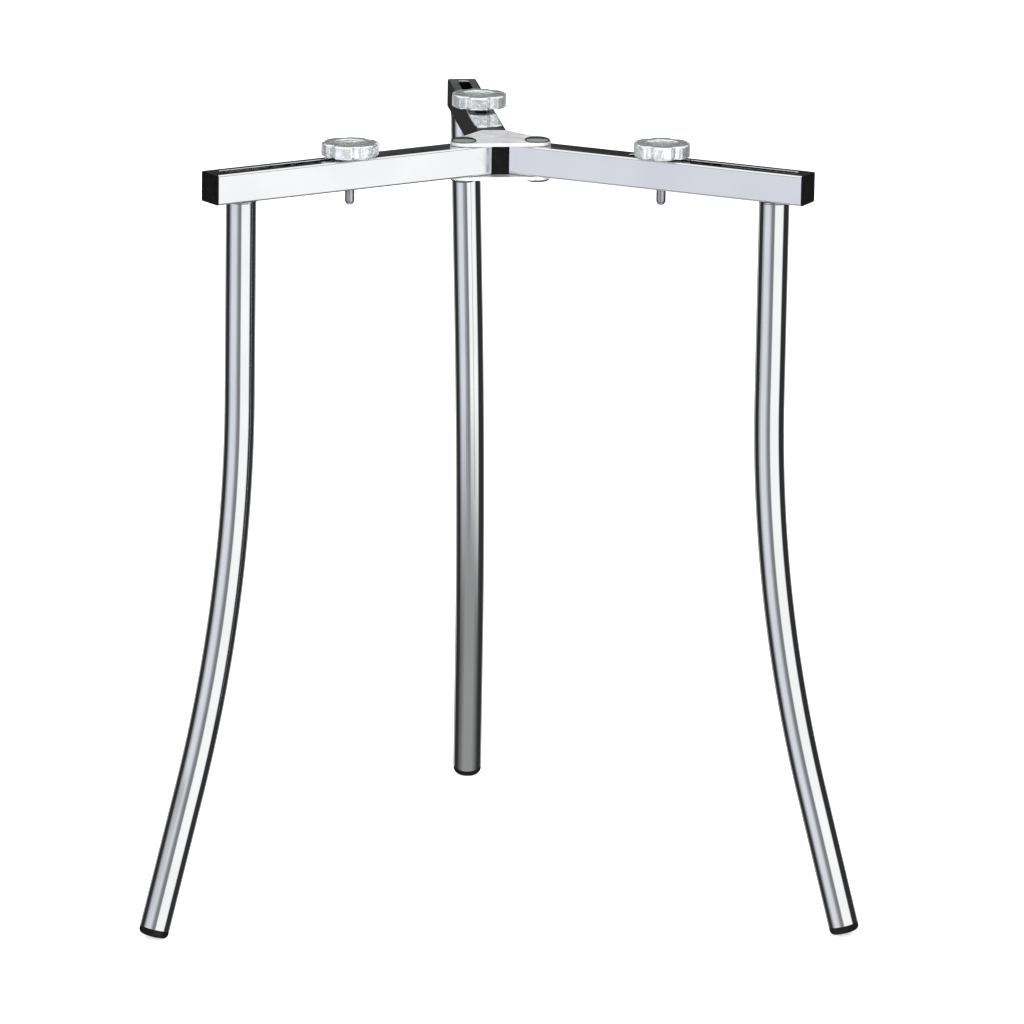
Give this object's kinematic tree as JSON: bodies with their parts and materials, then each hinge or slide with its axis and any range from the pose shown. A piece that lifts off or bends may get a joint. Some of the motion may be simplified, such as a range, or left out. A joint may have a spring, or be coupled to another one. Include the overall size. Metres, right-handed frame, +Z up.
{
  "type": "folding three-legged stand",
  "caption": "Folding tripod stand: slotted square-tube arms on bent round legs meet in a riveted hub, with a sliding lobed clamp knob on each arm.",
  "frame": {"origin": "middle of the footprint, on the floor that the three feet stand on", "axes": "+Z up; +Y along the fixed back arm, away from the two folding front arms; +X to the right arm's side"},
  "size_m": [0.6076, 0.5426, 0.663],
  "materials": {
    "chrome_tube": "bright chrome plate on steel tube, mirror smooth",
    "plate_steel": "bright plated sheet steel, slightly duller than the tubes",
    "rivet_steel": "plated steel, broad smooth domes",
    "knob_chrome": "bright plated lobed knob with a shallow dished top",
    "clamp_steel": "zinc-plated steel",
    "black_plastic": "moulded black plastic, fine satin",
    "foot_rubber": "moulded black rubber"
  },
  "bodies": {
    "hub": {"hub_top_plate": "plate_steel", "hub_bottom_plate": "plate_steel", "left_rivet": "rivet_steel", "right_rivet": "rivet_steel", "back_arm": "chrome_tube", "back_outer_cap": "black_plastic", "back_inner_cap": "black_plastic", "back_leg": "chrome_tube", "back_foot": "foot_rubber"},
    "left_wing": {"left_arm": "chrome_tube", "left_outer_cap": "black_plastic", "left_inner_plug": "black_plastic", "left_sleeve": "clamp_steel", "left_leg": "chrome_tube", "left_foot": "foot_rubber"},
    "right_wing": {"right_arm": "chrome_tube", "right_outer_cap": "black_plastic", "right_inner_plug": "black_plastic", "right_sleeve": "clamp_steel", "right_leg": "chrome_tube", "right_foot": "foot_rubber"},
    "back_slider": {"back_slider_nut": "clamp_steel"},
    "back_washer": {"back_collar": "clamp_steel"},
    "back_handle": {"back_knob": "knob_chrome", "back_stud": "clamp_steel"},
    "left_slider": {"left_slider_nut": "clamp_steel"},
    "left_washer": {"left_collar": "clamp_steel"},
    "left_handle": {"left_knob": "knob_chrome", "left_stud": "clamp_steel"},
    "right_slider": {"right_slider_nut": "clamp_steel"},
    "right_washer": {"right_collar": "clamp_steel"},
    "right_handle": {"right_knob": "knob_chrome", "right_stud": "clamp_steel"}
  },
  "joints": [
    {"name": "left_arm_fold", "type": "hinge", "parent": "hub", "child": "left_wing", "pos_m": [-0.02384, -0.09578, 0.6373], "axis": [0, 0, -1], "range_deg": [-2.8, 117.2]},
    {"name": "right_arm_fold", "type": "hinge", "parent": "hub", "child": "right_wing", "pos_m": [0.03852, -0.09578, 0.6373], "axis": [0, 0, 1], "range_deg": [0, 122.8]},
    {"name": "back_knob_slide", "type": "slide", "parent": "hub", "child": "back_slider", "axis": [0, 1, 0], "range_m": [-0.02, 0.084]},
    {"name": "left_knob_slide", "type": "slide", "parent": "left_wing", "child": "left_slider", "axis": [-0.8894, -0.4571, 0], "range_m": [-0.022, 0.082]},
    {"name": "right_knob_slide", "type": "slide", "parent": "right_wing", "child": "right_slider", "axis": [0.8406, -0.5417, 0], "range_m": [-0.0245, 0.0795]},
    {"name": "back_knob_lift", "type": "slide", "parent": "back_slider", "child": "back_washer", "axis": [0, 0, 1], "range_m": [0, 0.00141]},
    {"name": "left_knob_lift", "type": "slide", "parent": "left_slider", "child": "left_washer", "axis": [0, 0, 1], "range_m": [0, 0.00141]},
    {"name": "right_knob_lift", "type": "slide", "parent": "right_slider", "child": "right_washer", "axis": [0, 0, 1], "range_m": [0, 0.00141]},
    {"name": "back_knob_turn", "type": "hinge", "parent": "back_washer", "child": "back_handle", "pos_m": [0.00734, 0.06972, 0.65], "axis": [0, 0, 1], "range_deg": [0, 360]},
    {"name": "left_knob_turn", "type": "hinge", "parent": "left_washer", "child": "left_handle", "pos_m": [-0.12479, -0.14766, 0.65], "axis": [0, 0, 1], "range_deg": [0, 360]},
    {"name": "right_knob_turn", "type": "hinge", "parent": "right_washer", "child": "right_handle", "pos_m": [0.13602, -0.15862, 0.65], "axis": [0, 0, 1], "range_deg": [0, 360]}
  ],
  "couplings": [
    {"joint": "back_knob_turn", "follows": "back_knob_lift", "rad_per_m": 4452.6},
    {"joint": "left_knob_turn", "follows": "left_knob_lift", "rad_per_m": 4452.6},
    {"joint": "right_knob_turn", "follows": "right_knob_lift", "rad_per_m": 4452.6}
  ]
}
